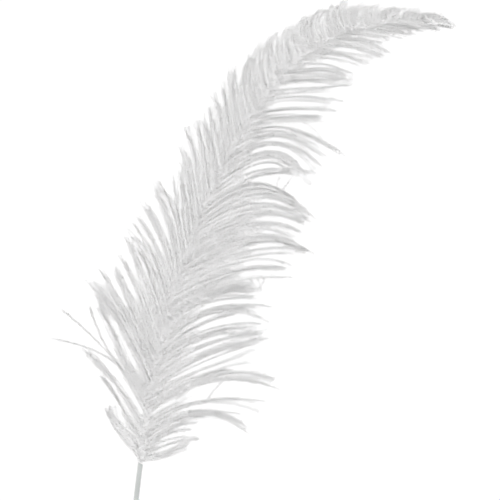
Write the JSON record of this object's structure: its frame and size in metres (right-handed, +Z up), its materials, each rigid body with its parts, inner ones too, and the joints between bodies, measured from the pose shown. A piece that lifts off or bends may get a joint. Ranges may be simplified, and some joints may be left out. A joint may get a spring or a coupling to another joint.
{
  "type": "ostrich feather",
  "caption": "Single curved ostrich plume lying on its face: a bare tapered quill, an arched shaft, and drooping locks of soft barbs along both sides, longer on the outer side of the bend.",
  "frame": {"origin": "middle of the base of the feather's bounding box, on the surface that it lies on", "axes": "+Y from the bare quill end to the top of the plume, +X towards the side with the longer barbs, +Z up off the surface"},
  "size_m": [0.3262, 0.4098, 0.0192],
  "materials": {
    "vane": "soft matt barbs, pale grey-white",
    "quill": "satin keratin shaft, pale grey with a faint green cast"
  },
  "bodies": {
    "root": {"feather": "vane"}
  },
  "joints": []
}
